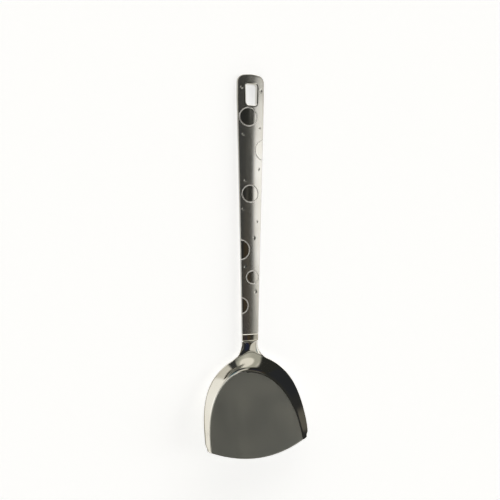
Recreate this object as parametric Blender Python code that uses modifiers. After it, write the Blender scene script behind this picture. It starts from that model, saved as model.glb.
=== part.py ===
"""Stainless steel wok spatula: a shovel blade and neck pressed from one sheet, a polished collar, and a
slim hollow handle of two shells with a lined hanging slot. It lies bowl up, as it rests on a table.

Blade frame: X to the right, Y from the leading edge towards the handle, Z up out of the bowl, zero on
the floor's upper face and on the line across the blade where its floor is widest.
Handle frame: X to the right, Y along the handle, Z out of its crowned front, zero on the plane where
the two shells meet and above the back of the bowl's rim. All lengths are in metres.
"""
import math

import bmesh
import bpy
from mathutils import Matrix, Vector

# Fits and cutters
GAP = 0.0003                      # clearance between pieces that touch
OVERRUN = 0.003                   # how far a cutter runs past the wall it cuts
MERGE_DISTANCE = 0.00003          # points closer than this are one point

# Blade floor
SHEET = 0.0015                    # thickness of the pressed sheet
FLOOR_HALF_WIDTH = 0.0479
FLOOR_LENGTH = 0.0692             # from where the floor is widest to the top of its arch
EDGE_BULGE = 0.0131               # how far the leading edge's middle runs past its corners
CORNER_DROP = 0.0010              # how far the corners lie past the line where the floor is widest
CORNER_INSET = 0.0022             # how far the corners stand inside the widest rim

# Flange round the floor
FLANGE_SIDE_REACH = 0.0061        # its width in plan at the sides
FLANGE_BACK_REACH = 0.0131        # its width in plan behind the floor
FLANGE_FOOT = 0.0012              # half the width of the bend between floor and flange
# Loops between the rim and the foot: share of the way out, share of the way up
FLANGE_SECTION_shares = ((0.62, 0.56), (0.25, 0.15))
RIM_CORNER_HEIGHT = 0.0018
RIM_SIDE_HEIGHT = 0.0042
RIM_BACK_HEIGHT = 0.0139
REACH_GROWN_BY_share = 0.60       # share of the quarter turn by which the flange has its full reach
RIM_RISE_POWER = 2.8              # how late the rim rises towards the neck
RIM_CROWN_share = 0.5             # share of the neck's crown that the rim already has below it

# Neck and tang, in the handle frame
HANDLE_PITCH = math.radians(24.3)
NECK_HALF_WIDTH = 0.0089
NECK_FLARE_HALF_WIDTH = 0.0128    # where the neck leaves the bowl's rim
NECK_EDGE_DROP = 0.0008           # how far the neck's edges turn down past the shells' meeting plane
TANG_LENGTH = 0.0400              # hidden in the collar and the handle
TANG_SIDE_CLEARANCE = 0.0005
# Across the neck from its middle: where the section's points lie, and how far its shoulder turns down
NECK_SECTION_shares = (0.0, 0.38, 0.74, 0.96)
NECK_SHOULDER_share = 0.33
# Along the neck: place, remaining flare, how much of the rim's flatter section is left, edge drop
FLARE_shares = (
    (0.15, 0.90, 0.85, 0.5),
    (0.40, 0.33, 0.50, 1.3),
    (0.66, 0.06, 0.18, 1.5),
    (0.90, 0.0, 0.0, 1.1),
    (1.0, 0.0, 0.0, 1.0),
)
GROOVE_WIDTH = 0.0006             # bright line below the collar, where the neck steps down to the tang
GROOVE_STEP_share = 0.25          # share of the groove's width that is left when the step is made
TANG_ROW_share = 0.25             # share of the collar's length where the tang's section is fixed

# Collar, handle and its section
COLLAR_START = 0.0153             # along the handle frame, from the bowl's rim
COLLAR_LENGTH = 0.0072
HANDLE_END = 0.2794
HANDLE_END_HALF_WIDTH = 0.0144
HANDLE_WIDE_FROM = 0.2550         # from here to its end the handle keeps its full width
TAPER_POWER = 1.25
WALL = 0.0010                     # wall of the shells and the collar
CROWN_RADIUS = 0.0480             # the front's curve from side to side
FRONT_SIDE_DEPTH = 0.0016
BACK_DEPTH = 0.0020
FRONT_EDGE_RADIUS = 0.0012
BACK_EDGE_RADIUS = 0.0013
END_CORNER_RADIUS = 0.0070
END_ARCH = 0.0006                 # the end edge is bowed by this much
CHAMFER = 0.0004                  # on the collar's two end edges

# Hanging slot and its liner
SLOT_FROM_END = 0.0099
SLOT_LENGTH = 0.0202
SLOT_END_HALF_WIDTH = 0.0061
SLOT_ROOT_HALF_WIDTH = 0.0054
SLOT_CORNER_RADIUS = 0.0022
LIP_WIDTH = 0.0014                # the liner's sloping bright lip
LIP_DEPTH = 0.0010
LINER_LAND = 0.0003               # flat left between the lip and the liner's outside

# Engraved bubbles: rings are lines round a polished disc, pits are small round dimples
RING_LINE_RADIUS = 0.00045
PIT_RADIUS = 0.0030               # radius of the ball that presses each pit
PIT_DEPTH = 0.00038
SMALL_PIT_DEPTH = 0.00018
# Along the front shell, across from its centre line in half widths, radius in end half widths
RING_shares = (
    (0.837, -0.24, 0.625),
    (0.711, 1.05, 0.680),
    (0.543, -0.10, 0.582),
    (0.327, -1.10, 0.680),
    (0.220, 0.16, 0.447),
    (0.110, -1.18, 0.565),
)
PIT_shares = (
    (0.9485, -0.74), (0.9390, 0.75), (0.770, -0.67), (0.593, -0.56),
    (0.484, -0.77), (0.373, 0.31), (0.260, -0.62), (0.162, 0.56),
)
SMALL_PIT_shares = ((0.797, 0.69), (0.639, 0.70), (0.435, 0.61))

# How finely curved outlines are divided
SIDE_STEPS = 8
NECK_COLUMNS = 4
NECK_FROM_ANGLE = math.radians(75.0)
SHELL_COLUMNS = 4
SHELL_SIDE_STEPS = 7
SHELL_CORNER_STEPS = 6
EDGE_STEPS = 3
SLOT_CORNER_STEPS = 4
RING_STEPS = 40
PIT_SEGMENTS = 10
SHARP_ANGLE = math.radians(30.0)  # edges that turn more than this are shaded sharp

# Derived places
CORNER_HALF_WIDTH = FLOOR_HALF_WIDTH + FLANGE_SIDE_REACH - CORNER_INSET
HANDLE_ROOT = (0.0, FLOOR_LENGTH + FLANGE_BACK_REACH, RIM_BACK_HEIGHT)
SHELL_START = COLLAR_START + COLLAR_LENGTH + GAP
SLOT_END = HANDLE_END - SLOT_FROM_END
SLOT_ROOT = SLOT_END - SLOT_LENGTH


def smoothstep(share):
    """Smooth rise from 0 to 1."""
    share = min(max(share, 0.0), 1.0)
    return share * share * (3.0 - 2.0 * share)


def material(name, colour, roughness):
    """A metal with one colour and one roughness."""
    steel = bpy.data.materials.new(name)
    steel.use_nodes = True
    shader = steel.node_tree.nodes["Principled BSDF"]
    shader.inputs["Base Color"].default_value = (*colour, 1.0)
    shader.inputs["Metallic"].default_value = 1.0
    shader.inputs["Roughness"].default_value = roughness
    return steel


def add_object(name, bm, collection, steel=None, parent=None):
    """Turn a finished bmesh into a named object."""
    mesh = bpy.data.meshes.new(name)
    bm.to_mesh(mesh)
    bm.free()
    mesh.shade_smooth()
    mesh.set_sharp_from_angle(angle=SHARP_ANGLE)
    obj = bpy.data.objects.new(name, mesh)
    if steel:
        mesh.materials.append(steel)
    obj.parent = parent
    collection.objects.link(obj)
    return obj


def arched_sheet(loops, inside, columns, tail=()):
    """Half of a sheet whose outline runs up one side and round an arch.

    loops are lists of points from the rim inwards, each from the open end to the middle plane. inside
    gives the point of a row across, and tail rows grow out of the rim's last columns.
    """
    bm = bmesh.new()
    rings = [[bm.verts.new(point) for point in loop] for loop in loops]
    for outer, inner in zip(rings, rings[1:]):
        for j in range(len(outer) - 1):
            bm.faces.new((outer[j], outer[j + 1], inner[j + 1], inner[j]))
    core = rings[-1]
    last_row = len(core) - 1 - columns
    rows = []
    for i in range(last_row):
        row = [bm.verts.new(inside(i, k / columns)) for k in range(columns)]
        rows.append(row + [core[i]])
    rows.append(list(reversed(core[last_row:])))
    for row, following in zip(rows, rows[1:]):
        for k in range(columns):
            bm.faces.new((row[k], row[k + 1], following[k + 1], following[k]))
    previous = list(reversed(rings[0][last_row:]))
    for points in tail:
        row = [bm.verts.new(point) for point in points]
        for k in range(columns):
            bm.faces.new((previous[k], previous[k + 1], row[k + 1], row[k]))
        previous = row
    bmesh.ops.recalc_face_normals(bm, faces=bm.faces)
    return bm


def closed_loft(rings):
    """Skin a ring of closed sections, the last joined to the first, with faces pointing out."""
    bm = bmesh.new()
    loops = [[bm.verts.new(point) for point in ring] for ring in rings]
    count = len(rings[0])
    for first, second in zip(loops, loops[1:] + loops[:1]):
        for i in range(count):
            after = (i + 1) % count
            bm.faces.new((first[i], first[after], second[after], second[i]))
    bmesh.ops.recalc_face_normals(bm, faces=bm.faces)
    return bm


def face_towards(bm, direction):
    """Turn an open sheet so that its faces look along a direction."""
    total = sum((face.normal * face.calc_area() for face in bm.faces), Vector())
    if total.dot(direction) < 0.0:
        bmesh.ops.reverse_faces(bm, faces=bm.faces)


def add_mirror(obj):
    """Mirror a half that is open at X = 0."""
    modifier = obj.modifiers.new("other_half", "MIRROR")
    modifier.merge_threshold = MERGE_DISTANCE


def add_wall(obj, thickness):
    """Give a sheet its thickness behind its outer face."""
    modifier = obj.modifiers.new("wall", "SOLIDIFY")
    modifier.thickness = thickness
    modifier.offset = -1.0
    modifier.use_even_offset = True


def add_cut(obj, name, cutters):
    """Cut every solid of a collection out of an object."""
    modifier = obj.modifiers.new(name, "BOOLEAN")
    modifier.operation = "DIFFERENCE"
    modifier.operand_type = "COLLECTION"
    modifier.collection = cutters


# Section of the handle and its outline in plan

def half_width_at(along):
    """Half width of the handle, from slim at the collar to wide at the hanging end."""
    share = (along - COLLAR_START) / (HANDLE_WIDE_FROM - COLLAR_START)
    share = min(max(share, 0.0), 1.0)
    return NECK_HALF_WIDTH + (HANDLE_END_HALF_WIDTH - NECK_HALF_WIDTH) * share ** TAPER_POWER


def crown_height(across, half_width):
    """Height of the front's crown above the shells' meeting plane."""
    reach = min(abs(across), half_width)
    return (FRONT_SIDE_DEPTH + math.sqrt(CROWN_RADIUS ** 2 - reach ** 2)
            - math.sqrt(CROWN_RADIUS ** 2 - half_width ** 2))


def front_height(across, along):
    """Height of the front face, rounded over at its long edges."""
    half_width = half_width_at(along)
    inset = half_width - abs(across)
    over = FRONT_EDGE_RADIUS - min(max(inset, 0.0), FRONT_EDGE_RADIUS)
    fall = FRONT_EDGE_RADIUS - math.sqrt(FRONT_EDGE_RADIUS ** 2 - over ** 2)
    return crown_height(across, half_width) - fall


def shell_outline(inset):
    """Plan of half a shell, from the collar up the side and round to the middle of the end."""
    points = []
    corner_y = HANDLE_END - END_ARCH - END_CORNER_RADIUS
    corner_x = HANDLE_END_HALF_WIDTH - END_CORNER_RADIUS
    for i in range(SHELL_SIDE_STEPS):
        along = SHELL_START + (corner_y - SHELL_START) * i / SHELL_SIDE_STEPS
        points.append((half_width_at(along) - inset, along))
    for i in range(SHELL_CORNER_STEPS + 1):
        angle = math.pi / 2.0 * i / SHELL_CORNER_STEPS
        radius = END_CORNER_RADIUS - inset
        points.append((corner_x + radius * math.cos(angle), corner_y + radius * math.sin(angle)))
    for i in range(1, SHELL_COLUMNS + 1):
        share = 1.0 - i / SHELL_COLUMNS
        points.append((corner_x * share, HANDLE_END - END_ARCH * share ** 2 - inset))
    return points


def front_loops():
    """Loops of the front shell's outer face, from the meeting edge up over the rounded edge."""
    loops = [[(x, y, GAP / 2.0) for x, y in shell_outline(0.0)]]
    for i in range(EDGE_STEPS + 1):
        angle = math.pi / 2.0 * i / EDGE_STEPS
        inset = FRONT_EDGE_RADIUS * (1.0 - math.cos(angle))
        fall = FRONT_EDGE_RADIUS * (1.0 - math.sin(angle))
        loops.append([(x, y, crown_height(x, half_width_at(y)) - fall) for x, y in shell_outline(inset)])
    return loops


def back_loops():
    """Loops of the back shell's outer face, from the meeting edge down over the rounded edge."""
    loops = [[(x, y, -GAP / 2.0) for x, y in shell_outline(0.0)]]
    for i in range(EDGE_STEPS + 1):
        angle = math.pi / 2.0 * i / EDGE_STEPS
        inset = BACK_EDGE_RADIUS * (1.0 - math.cos(angle))
        rise = BACK_EDGE_RADIUS * (1.0 - math.sin(angle))
        loops.append([(x, y, rise - BACK_DEPTH) for x, y in shell_outline(inset)])
    return loops


def collar_section(along, depth):
    """Closed section of the collar: the handle's section at the neck, taken in by a depth."""
    half_width = NECK_HALF_WIDTH - depth
    front_radius = max(FRONT_EDGE_RADIUS - depth, GAP)
    back_radius = max(BACK_EDGE_RADIUS - depth, GAP)
    side = []
    for i in range(SHELL_COLUMNS):
        across = (half_width - front_radius) * i / SHELL_COLUMNS
        side.append((across, crown_height(across, NECK_HALF_WIDTH) - depth))
    for i in range(EDGE_STEPS + 1):
        angle = math.pi / 2.0 * (1.0 - i / EDGE_STEPS)
        across = half_width - front_radius * (1.0 - math.cos(angle))
        fall = front_radius * (1.0 - math.sin(angle))
        side.append((across, crown_height(across, NECK_HALF_WIDTH) - depth - fall))
    for i in range(EDGE_STEPS + 1):
        angle = math.pi / 2.0 * i / EDGE_STEPS
        across = half_width - back_radius * (1.0 - math.cos(angle))
        side.append((across, depth - BACK_DEPTH + back_radius * (1.0 - math.sin(angle))))
    other = [(-x, z) for x, z in reversed(side[1:])]
    return [(x, along, z) for x, z in side + other]


# Outline of the slot

def slot_outline(grow):
    """Closed plan of the hanging slot, grown outwards by a distance."""
    radius = SLOT_CORNER_RADIUS + grow
    root = SLOT_ROOT - grow + radius
    end = SLOT_END + grow - radius
    end_x = SLOT_END_HALF_WIDTH + grow - radius
    root_x = SLOT_ROOT_HALF_WIDTH + grow - radius
    corners = ((end_x, end), (-end_x, end), (-root_x, root), (root_x, root))
    points = []
    for quarter, (x, y) in enumerate(corners):
        for i in range(SLOT_CORNER_STEPS + 1):
            angle = math.pi / 2.0 * (quarter + i / SLOT_CORNER_STEPS)
            points.append((x + radius * math.cos(angle), y + radius * math.sin(angle)))
    return points


def liner_ring(grow, drop):
    """Closed ring round the slot that follows the crowned front at a depth below it."""
    return [(x, y, crown_height(x, half_width_at(y)) - drop) for x, y in slot_outline(grow)]


# Blade

def edge_line(across):
    """Y of the leading edge."""
    return -CORNER_DROP - EDGE_BULGE * (1.0 - (across / CORNER_HALF_WIDTH) ** 2)


def flange_point(angle, share, rise_share):
    """Point of the flange at an angle round the floor, a share of the way out and up to the rim."""
    floor = Vector((FLOOR_HALF_WIDTH * math.cos(angle), FLOOR_LENGTH * math.sin(angle)))
    out = Vector((math.cos(angle) / FLOOR_HALF_WIDTH, math.sin(angle) / FLOOR_LENGTH)).normalized()
    grown = smoothstep(angle / (math.pi / 2.0) / REACH_GROWN_BY_share)
    reach = FLANGE_SIDE_REACH + (FLANGE_BACK_REACH - FLANGE_SIDE_REACH) * grown
    rise = math.sin(angle) ** RIM_RISE_POWER
    height = RIM_SIDE_HEIGHT + (RIM_BACK_HEIGHT - RIM_SIDE_HEIGHT) * rise
    place = floor + out * (reach * share)
    return (place.x, place.y, height * rise_share)


def flange_angles():
    """Angles round the floor at which the blade's loops have their points."""
    side = [NECK_FROM_ANGLE * (i + 0.5) / (SIDE_STEPS + 0.5) for i in range(SIDE_STEPS)]
    neck = [NECK_FROM_ANGLE + (math.pi / 2.0 - NECK_FROM_ANGLE) * i / NECK_COLUMNS
            for i in range(NECK_COLUMNS + 1)]
    return side + neck


def flange_loop(share, rise_share, corner_x, corner_z):
    """One loop of the blade, from the leading edge round to the middle plane."""
    points = [(corner_x, edge_line(corner_x), corner_z)]
    for angle in flange_angles():
        points.append(flange_point(angle, share, rise_share))
    x, y, z = points[-1]
    points[-1] = (0.0, y, z)
    return points


def rim_loop():
    """The rim, raised towards the neck's crown behind the bowl."""
    points = flange_loop(1.0, 1.0, CORNER_HALF_WIDTH, RIM_CORNER_HEIGHT)
    crest = crown_height(0.0, NECK_HALF_WIDTH) * RIM_CROWN_share
    reach = points[-1 - NECK_COLUMNS][0]
    for i in range(NECK_COLUMNS):
        x, y, z = points[-1 - i]
        points[-1 - i] = (x, y, z + crest * (1.0 - (x / reach) ** 2))
    return points


def blade_loops():
    """Loops of the blade's upper face, from the rim in to the flat floor."""
    foot_share = FLANGE_FOOT / FLANGE_SIDE_REACH
    loops = [rim_loop()]
    for share, rise_share in FLANGE_SECTION_shares:
        corner_x = FLOOR_HALF_WIDTH + (CORNER_HALF_WIDTH - FLOOR_HALF_WIDTH) * share
        loops.append(flange_loop(share, rise_share, corner_x, RIM_CORNER_HEIGHT * rise_share))
    loops.append(flange_loop(foot_share / 2.0, 0.0, FLOOR_HALF_WIDTH, 0.0))
    loops.append(flange_loop(-foot_share, 0.0, FLOOR_HALF_WIDTH - FLANGE_FOOT, 0.0))
    return loops


def to_blade_frame(across, along, height):
    """Place a point of the handle frame in the blade frame."""
    turn = Matrix.Rotation(HANDLE_PITCH, 3, "X")
    return Vector(HANDLE_ROOT) + turn @ Vector((across, along, height))


def neck_row(along, half_width, edge_z, rim_share=0.0, sink=0.0):
    """One row across the neck or the tang, from the middle plane to its edge.

    rim_share is how much of the rim's flatter section with its even columns is left in the row.
    """
    crown_share = 1.0 - rim_share * (1.0 - RIM_CROWN_share)
    row = []
    for column, share in enumerate(NECK_SECTION_shares):
        share += (column / NECK_COLUMNS - share) * rim_share
        across = half_width * share
        crown = (FRONT_SIDE_DEPTH + math.sqrt(CROWN_RADIUS ** 2 - across ** 2)
                 - math.sqrt(CROWN_RADIUS ** 2 - NECK_HALF_WIDTH ** 2))
        height = crown * crown_share - sink
        if column == NECK_COLUMNS - 1:
            height += (edge_z - height) * (1.0 - rim_share) * NECK_SHOULDER_share
        row.append(to_blade_frame(across, along, height))
    row.append(to_blade_frame(half_width, along, edge_z))
    return row


def neck_rows():
    """Rows of the neck from the bowl's rim to the tang's end."""
    step_from = COLLAR_START - GAP - GROOVE_WIDTH
    step_to = COLLAR_START - GAP - GROOVE_WIDTH * GROOVE_STEP_share
    tang_from = COLLAR_START + COLLAR_LENGTH * TANG_ROW_share
    flare = NECK_FLARE_HALF_WIDTH - NECK_HALF_WIDTH
    sink = WALL + GAP
    tang = NECK_HALF_WIDTH - WALL - TANG_SIDE_CLEARANCE
    tang_edge = crown_height(tang, NECK_HALF_WIDTH) - sink
    rows = []
    for share, flare_share, rim_share, drop_share in FLARE_shares:
        half_width = NECK_HALF_WIDTH + flare * flare_share
        rows.append(neck_row(step_from * share, half_width, -NECK_EDGE_DROP * drop_share, rim_share))
    for along in (step_to, tang_from, COLLAR_START + TANG_LENGTH):
        rows.append(neck_row(along, tang, tang_edge, sink=sink))
    return rows


def make_blade(collection, steel, parent):
    """Floor, flange, neck and tang, pressed from one sheet."""
    loops = blade_loops()
    core = loops[-1]
    last_row = len(core) - 1 - NECK_COLUMNS
    top_y = core[-1][1]
    top_side_y = core[last_row][1]

    def inside(row, share):
        x, y, z = core[row]
        across = x * share
        if row == 0:
            return (across, edge_line(across), 0.0)
        bow = (top_y - top_side_y) * (row / last_row) ** 2 * (1.0 - share ** 2)
        sag = (edge_line(0.0) - edge_line(x)) * (1.0 - row / last_row) ** 2 * (1.0 - share ** 2)
        return (across, y + bow + sag, 0.0)

    bm = arched_sheet(loops, inside, NECK_COLUMNS, neck_rows())
    face_towards(bm, Vector((0.0, 0.0, 1.0)))
    blade = add_object("blade", bm, collection, steel, parent)
    add_mirror(blade)
    smooth = blade.modifiers.new("pressed_curves", "SUBSURF")
    smooth.levels = 1
    smooth.render_levels = 1
    add_wall(blade, SHEET)
    return blade


def make_collar(collection, steel, parent):
    """Polished collar between the neck and the handle."""
    start = COLLAR_START
    end = COLLAR_START + COLLAR_LENGTH
    rings = [
        collar_section(start, CHAMFER),
        collar_section(start + CHAMFER, 0.0),
        collar_section(end - CHAMFER, 0.0),
        collar_section(end, CHAMFER),
        collar_section(end, WALL),
        collar_section(start, WALL),
    ]
    return add_object("neck_collar", closed_loft(rings), collection, steel, parent)


def make_shell(name, loops, crowned, collection, steel, parent):
    """One pressed shell of the handle, open towards the other shell and towards the collar."""
    core = loops[-1]

    def inside(row, share):
        x, y, z = core[row]
        height = crown_height(x * share, half_width_at(y)) if crowned else z
        return (x * share, y, height)

    bm = arched_sheet(loops, inside, SHELL_COLUMNS)
    face_towards(bm, Vector((0.0, 0.0, 1.0 if crowned else -1.0)))
    shell = add_object(name, bm, collection, steel, parent)
    add_mirror(shell)
    add_wall(shell, WALL)
    return shell


def make_liner(collection, steel, parent):
    """Liner of the hanging slot, with a bright sloping lip on the front."""
    outer = LIP_WIDTH + LINER_LAND
    back_outer = [(x, y, -BACK_DEPTH) for x, y in slot_outline(outer)]
    back_inner = [(x, y, -BACK_DEPTH) for x, y in slot_outline(0.0)]
    rings = [
        back_outer,
        liner_ring(outer, 0.0),
        liner_ring(LIP_WIDTH, 0.0),
        liner_ring(0.0, LIP_DEPTH),
        back_inner,
    ]
    return add_object("hang_slot_liner", closed_loft(rings), collection, steel, parent)


# Cutters

def as_cutter(obj):
    """Hide a cutter from renders and show it as wire."""
    obj.hide_render = True
    obj.display_type = "WIRE"


def make_slot_cutter(collection, parent):
    """Block that cuts the slot through both shells, with room for the liner."""
    outline = slot_outline(LIP_WIDTH + LINER_LAND + GAP)
    low = -BACK_DEPTH - OVERRUN
    high = crown_height(0.0, HANDLE_END_HALF_WIDTH) + OVERRUN
    bm = bmesh.new()
    face = bm.faces.new([bm.verts.new((x, y, low)) for x, y in outline])
    grown = bmesh.ops.extrude_face_region(bm, geom=[face])
    raised = [item for item in grown["geom"] if isinstance(item, bmesh.types.BMVert)]
    bmesh.ops.translate(bm, verts=raised, vec=(0.0, 0.0, high - low))
    bmesh.ops.recalc_face_normals(bm, faces=bm.faces)
    cutter = add_object("slot_cutter", bm, collection, parent=parent)
    as_cutter(cutter)


def make_ring_cutter(index, shares, collection, parent):
    """Thin tube that lies in the front's surface and engraves one ring."""
    along_share, across_share, radius_share = shares
    along = SHELL_START + (HANDLE_END - SHELL_START) * along_share
    across = half_width_at(along) * across_share
    radius = HANDLE_END_HALF_WIDTH * radius_share
    curve = bpy.data.curves.new(f"ring_{index}", "CURVE")
    curve.dimensions = "3D"
    curve.twist_mode = "Z_UP"
    curve.bevel_depth = RING_LINE_RADIUS
    curve.bevel_resolution = 0
    spline = curve.splines.new("POLY")
    spline.points.add(RING_STEPS - 1)
    spline.use_cyclic_u = True
    for i, point in enumerate(spline.points):
        angle = 2.0 * math.pi * i / RING_STEPS
        x = across + radius * math.cos(angle)
        y = along + radius * math.sin(angle)
        point.co = (x, y, front_height(x, y), 1.0)
    guide = bpy.data.objects.new(f"ring_{index}", curve)
    collection.objects.link(guide)
    bpy.context.view_layer.update()
    evaluated = guide.evaluated_get(bpy.context.evaluated_depsgraph_get())
    mesh = bpy.data.meshes.new_from_object(evaluated)
    bpy.data.objects.remove(guide)
    bm = bmesh.new()
    bm.from_mesh(mesh)
    bpy.data.meshes.remove(mesh)
    bmesh.ops.remove_doubles(bm, verts=bm.verts, dist=MERGE_DISTANCE)
    bmesh.ops.recalc_face_normals(bm, faces=bm.faces)
    cutter = add_object(f"ring_cutter_{index}", bm, collection, parent=parent)
    as_cutter(cutter)


def make_pit_cutter(index, shares, depth, collection, parent):
    """Ball that presses one round pit into the front."""
    along_share, across_share = shares
    along = SHELL_START + (HANDLE_END - SHELL_START) * along_share
    across = half_width_at(along) * across_share
    bm = bmesh.new()
    bmesh.ops.create_uvsphere(bm, u_segments=PIT_SEGMENTS, v_segments=PIT_SEGMENTS, radius=PIT_RADIUS)
    height = front_height(across, along) + PIT_RADIUS - depth
    bmesh.ops.translate(bm, verts=bm.verts, vec=(across, along, height))
    cutter = add_object(f"pit_cutter_{index}", bm, collection, parent=parent)
    as_cutter(cutter)


# Resting pose

def world_points(objects):
    """World vertices and centre of mass of the evaluated solids."""
    bpy.context.view_layer.update()
    depsgraph = bpy.context.evaluated_depsgraph_get()
    points = []
    volume = 0.0
    moment = Vector()
    for obj in objects:
        evaluated = obj.evaluated_get(depsgraph)
        mesh = evaluated.to_mesh()
        mesh.calc_loop_triangles()
        place = [obj.matrix_world @ vertex.co for vertex in mesh.vertices]
        for triangle in mesh.loop_triangles:
            a, b, c = (place[i] for i in triangle.vertices)
            part = a.dot(b.cross(c)) / 6.0
            volume += part
            moment += part * (a + b + c) / 4.0
        points.extend(place)
        evaluated.to_mesh_clear()
    return points, moment / volume


def lie_down(rest, objects):
    """Tilt the assembly onto the two places that carry it, and centre it on the table."""
    points, mass_centre = world_points(objects)
    low = sorted((point.y, point.z) for point in points)
    hull = []
    for point in low:
        while len(hull) > 1:
            (ay, az), (by, bz) = hull[-2], hull[-1]
            if (by - ay) * (point[1] - az) - (bz - az) * (point[0] - ay) > 0.0:
                break
            hull.pop()
        hull.append(point)
    for (ay, az), (by, bz) in zip(hull, hull[1:]):
        if ay <= mass_centre.y <= by:
            rest.rotation_euler.x = -math.atan2(bz - az, by - ay)
    points, mass_centre = world_points(objects)
    centre_y = (min(point.y for point in points) + max(point.y for point in points)) / 2.0
    rest.location = (0.0, -centre_y, -min(point.z for point in points))


def build():
    """Build the whole spatula."""
    for obj in list(bpy.data.objects):
        bpy.data.objects.remove(obj)
    parts = bpy.data.collections.new("spatula")
    slot_cutters = bpy.data.collections.new("slot_cutters")
    engravers = bpy.data.collections.new("engraving_cutters")
    for collection in (parts, slot_cutters, engravers):
        bpy.context.scene.collection.children.link(collection)

    mirror_steel = material("mirror_steel", (0.72, 0.71, 0.68), 0.08)
    collar_steel = material("collar_steel", (0.74, 0.73, 0.70), 0.06)
    satin_steel = material("satin_steel", (0.62, 0.61, 0.58), 0.38)
    lip_steel = material("lip_steel", (0.76, 0.75, 0.72), 0.15)

    rest = bpy.data.objects.new("resting_pose", None)
    handle_axis = bpy.data.objects.new("handle_axis", None)
    handle_axis.parent = rest
    handle_axis.location = HANDLE_ROOT
    handle_axis.rotation_euler.x = HANDLE_PITCH
    parts.objects.link(rest)
    parts.objects.link(handle_axis)

    make_slot_cutter(slot_cutters, handle_axis)
    for index, shares in enumerate(RING_shares, 1):
        make_ring_cutter(index, shares, engravers, handle_axis)
    pits = [(shares, PIT_DEPTH) for shares in PIT_shares]
    pits += [(shares, SMALL_PIT_DEPTH) for shares in SMALL_PIT_shares]
    for index, (shares, depth) in enumerate(pits, 1):
        make_pit_cutter(index, shares, depth, engravers, handle_axis)

    blade = make_blade(parts, mirror_steel, rest)
    collar = make_collar(parts, collar_steel, handle_axis)
    front = make_shell("handle_front_shell", front_loops(), True, parts, satin_steel, handle_axis)
    back = make_shell("handle_back_shell", back_loops(), False, parts, satin_steel, handle_axis)
    liner = make_liner(parts, lip_steel, handle_axis)
    add_cut(front, "slot", slot_cutters)
    add_cut(front, "engraving", engravers)
    add_cut(back, "slot", slot_cutters)
    lie_down(rest, [blade, collar, front, back, liner])


build()
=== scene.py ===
"""Stainless steel wok spatula: fine meshes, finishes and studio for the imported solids.

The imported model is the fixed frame. Each of its pieces is modelled again as a smooth mesh in the same
place, with polished and satin steel, and stands on a pale floor under soft light.

Blade frame: X across, Y from the leading edge to the handle, Z out of the bowl, zero on its floor.
Handle frame: X across, Y along the handle, Z out of its crowned front, zero where the shells meet.
Room frame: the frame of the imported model. Lengths are in metres.
"""
from __future__ import annotations

import logging
import math
from dataclasses import dataclass
from enum import Enum

import bmesh
import bpy
import numpy as np
from mathutils import Matrix, Vector


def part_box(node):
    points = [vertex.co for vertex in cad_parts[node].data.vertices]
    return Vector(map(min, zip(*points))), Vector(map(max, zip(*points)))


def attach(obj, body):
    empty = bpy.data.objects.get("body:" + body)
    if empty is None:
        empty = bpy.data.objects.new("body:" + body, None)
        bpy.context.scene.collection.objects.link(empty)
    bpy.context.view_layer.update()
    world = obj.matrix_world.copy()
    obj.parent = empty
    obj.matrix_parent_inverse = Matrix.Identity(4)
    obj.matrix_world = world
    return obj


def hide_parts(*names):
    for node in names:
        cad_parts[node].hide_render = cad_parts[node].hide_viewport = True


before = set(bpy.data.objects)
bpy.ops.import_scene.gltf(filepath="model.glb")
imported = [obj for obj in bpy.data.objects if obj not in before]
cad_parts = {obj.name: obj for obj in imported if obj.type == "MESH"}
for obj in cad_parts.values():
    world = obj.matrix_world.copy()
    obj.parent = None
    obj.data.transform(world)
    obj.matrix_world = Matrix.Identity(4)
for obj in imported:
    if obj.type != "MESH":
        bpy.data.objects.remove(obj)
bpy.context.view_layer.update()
CLOSE = 1e-6
log = logging.getLogger("wok_spatula")

Triple = tuple[float, float, float]
Colour = Triple


def smoothstep(share: float | np.ndarray) -> float | np.ndarray:
    """Return the smooth rise from 0 to 1."""
    share = np.clip(share, 0.0, 1.0)
    return share * share * (3.0 - 2.0 * share)


def smooth_lower(first: np.ndarray, second: np.ndarray, width: float) -> np.ndarray:
    """Join two height fields along their lower side with a rounded bend.

    Args:
        first: One height field.
        second: The other one.
        width: Difference of heights below which the bend begins.

    Returns:
        The lower of the two, rounded where they meet.
    """
    near = np.clip(1.0 - np.abs(first - second) / width, 0.0, 1.0)
    return np.minimum(first, second) - near * near * width / 4.0


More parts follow.
